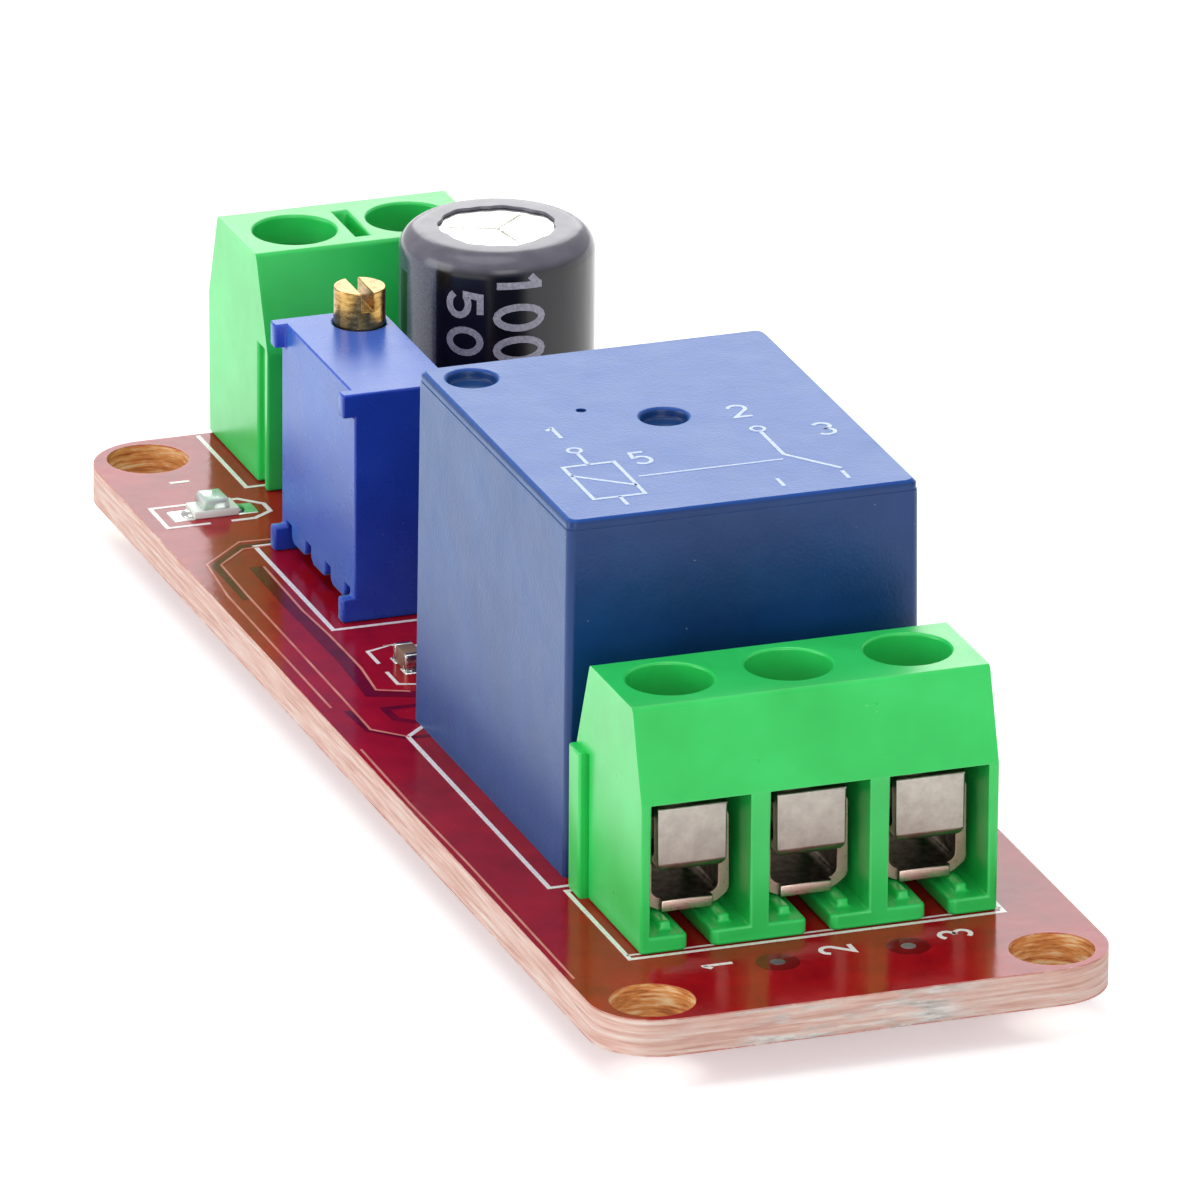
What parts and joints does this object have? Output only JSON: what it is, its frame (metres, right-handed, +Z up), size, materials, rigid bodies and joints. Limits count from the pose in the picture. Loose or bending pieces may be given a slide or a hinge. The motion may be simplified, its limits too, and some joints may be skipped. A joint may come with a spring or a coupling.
{
  "type": "relay module board",
  "caption": "Red circuit board that switches a relay after an adjustable delay, with green screw terminals at both ends, a trimmer and a capacitor.",
  "frame": {"origin": "centre of the four mounting holes, on the underside of the circuit board", "axes": "+X across the board to the right as seen from the output terminal's end, +Y along the board from the output terminal to the supply terminal, +Z up from the board's underside to its parts"},
  "size_m": [0.022, 0.0687, 0.0185],
  "materials": {
    "solder_mask_board": "glossy red solder mask on glass-fibre laminate",
    "solder": "bright tin solder",
    "terminal_green": "moulded green plastic, semi-gloss",
    "nickel_plate": "satin nickel plate on brass strip",
    "zinc_steel": "zinc-plated steel",
    "relay_blue": "moulded blue plastic with a fine texture",
    "relay_base": "dark blue plastic and potting",
    "relay_iron": "annealed iron, nickel washed",
    "bobbin_nylon": "natural nylon",
    "copper_wire": "enamelled copper wire",
    "spring_bronze": "phosphor bronze strip",
    "contact_silver": "silver alloy",
    "can_aluminium": "bare drawn aluminium",
    "sleeve_black": "shrunk black plastic sleeve, glossy",
    "bung_rubber": "moulded rubber",
    "tinned_lead": "tinned copper or steel lead",
    "trimmer_blue": "moulded royal blue plastic",
    "trimmer_seal": "cast resin",
    "screw_brass": "turned brass",
    "led_base": "white laminate with tinned ends",
    "led_lens": "clear resin",
    "chip_black": "moulded black epoxy",
    "resistor_black": "glazed black film on ceramic",
    "capacitor_tan": "fired brown ceramic"
  },
  "bodies": {
    "board": {"circuit_board": "solder_mask_board", "solder_joints": "solder", "output_housing": "terminal_green", "output_contacts": "nickel_plate", "supply_housing": "terminal_green", "supply_contacts": "nickel_plate", "relay_cover": "relay_blue", "relay_base": "relay_base", "relay_yoke": "relay_iron", "relay_core": "relay_iron", "relay_bobbin": "bobbin_nylon", "relay_winding": "copper_wire", "relay_upper_contact": "spring_bronze", "relay_lower_contact": "spring_bronze", "relay_common_pin": "tinned_lead", "relay_coil_pins": "tinned_lead", "capacitor_can": "can_aluminium", "capacitor_sleeve": "sleeve_black", "capacitor_bung": "bung_rubber", "capacitor_leads": "tinned_lead", "trimmer_housing": "trimmer_blue", "trimmer_seal": "trimmer_seal", "trimmer_pins": "tinned_lead", "power_led_base": "led_base", "power_led_lens": "led_lens", "status_led_base": "led_base", "status_led_lens": "led_lens", "timer_body": "chip_black", "timer_leads": "tinned_lead", "transistor_body": "chip_black", "transistor_leads": "tinned_lead", "diode_body": "chip_black", "diode_leads": "tinned_lead", "resistor_bodies": "resistor_black", "resistor_ends": "tinned_lead", "chip_capacitor_bodies": "capacitor_tan", "chip_capacitor_ends": "tinned_lead"},
    "output_screw_1": {"output_screw_1": "zinc_steel"},
    "output_cage_1": {"output_cage_1": "zinc_steel"},
    "output_screw_2": {"output_screw_2": "zinc_steel"},
    "output_cage_2": {"output_cage_2": "zinc_steel"},
    "output_screw_3": {"output_screw_3": "zinc_steel"},
    "output_cage_3": {"output_cage_3": "zinc_steel"},
    "supply_screw_1": {"supply_screw_1": "zinc_steel"},
    "supply_cage_1": {"supply_cage_1": "zinc_steel"},
    "supply_screw_2": {"supply_screw_2": "zinc_steel"},
    "supply_cage_2": {"supply_cage_2": "zinc_steel"},
    "armature": {"relay_armature": "relay_iron", "relay_spring": "spring_bronze", "relay_moving_contact": "contact_silver"},
    "trimmer_screw": {"trimmer_screw": "screw_brass"}
  },
  "joints": [
    {"name": "output_screw_1_turn", "type": "hinge", "parent": "board", "child": "output_screw_1", "pos_m": [-0.00485, -0.02369, 0.008], "axis": [0, 0, -1], "range_deg": [0, 936]},
    {"name": "output_cage_1_lift", "type": "slide", "parent": "board", "child": "output_cage_1", "axis": [0, 0, 1], "range_m": [0, 0.0013]},
    {"name": "output_screw_2_turn", "type": "hinge", "parent": "board", "child": "output_screw_2", "pos_m": [0.00023, -0.02369, 0.008], "axis": [0, 0, -1], "range_deg": [0, 936]},
    {"name": "output_cage_2_lift", "type": "slide", "parent": "board", "child": "output_cage_2", "axis": [0, 0, 1], "range_m": [0, 0.0013]},
    {"name": "output_screw_3_turn", "type": "hinge", "parent": "board", "child": "output_screw_3", "pos_m": [0.00531, -0.02369, 0.008], "axis": [0, 0, -1], "range_deg": [0, 936]},
    {"name": "output_cage_3_lift", "type": "slide", "parent": "board", "child": "output_cage_3", "axis": [0, 0, 1], "range_m": [0, 0.0013]},
    {"name": "supply_screw_1_turn", "type": "hinge", "parent": "board", "child": "supply_screw_1", "pos_m": [0.00268, 0.03062, 0.008], "axis": [0, 0, -1], "range_deg": [0, 936]},
    {"name": "supply_cage_1_lift", "type": "slide", "parent": "board", "child": "supply_cage_1", "axis": [0, 0, 1], "range_m": [0, 0.0013]},
    {"name": "supply_screw_2_turn", "type": "hinge", "parent": "board", "child": "supply_screw_2", "pos_m": [-0.0024, 0.03062, 0.008], "axis": [0, 0, -1], "range_deg": [0, 936]},
    {"name": "supply_cage_2_lift", "type": "slide", "parent": "board", "child": "supply_cage_2", "axis": [0, 0, 1], "range_m": [0, 0.0013]},
    {"name": "armature_swing", "type": "hinge", "parent": "board", "child": "armature", "pos_m": [0.0001, -0.00255, 0.01328], "axis": [1, 0, 0], "range_deg": [0, 3.2], "stiffness_Nm_per_rad": 0.01, "springref_deg": -11.46},
    {"name": "trimmer_turn", "type": "hinge", "parent": "board", "child": "trimmer_screw", "pos_m": [-0.00334, 0.01928, 0.01], "axis": [0, 0, -1], "continuous": true}
  ],
  "couplings": [
    {"joint": "output_screw_1_turn", "follows": "output_cage_1_lift", "rad_per_m": 12566},
    {"joint": "output_screw_2_turn", "follows": "output_cage_2_lift", "rad_per_m": 12566},
    {"joint": "output_screw_3_turn", "follows": "output_cage_3_lift", "rad_per_m": 12566},
    {"joint": "supply_screw_1_turn", "follows": "supply_cage_1_lift", "rad_per_m": 12566},
    {"joint": "supply_screw_2_turn", "follows": "supply_cage_2_lift", "rad_per_m": 12566}
  ]
}
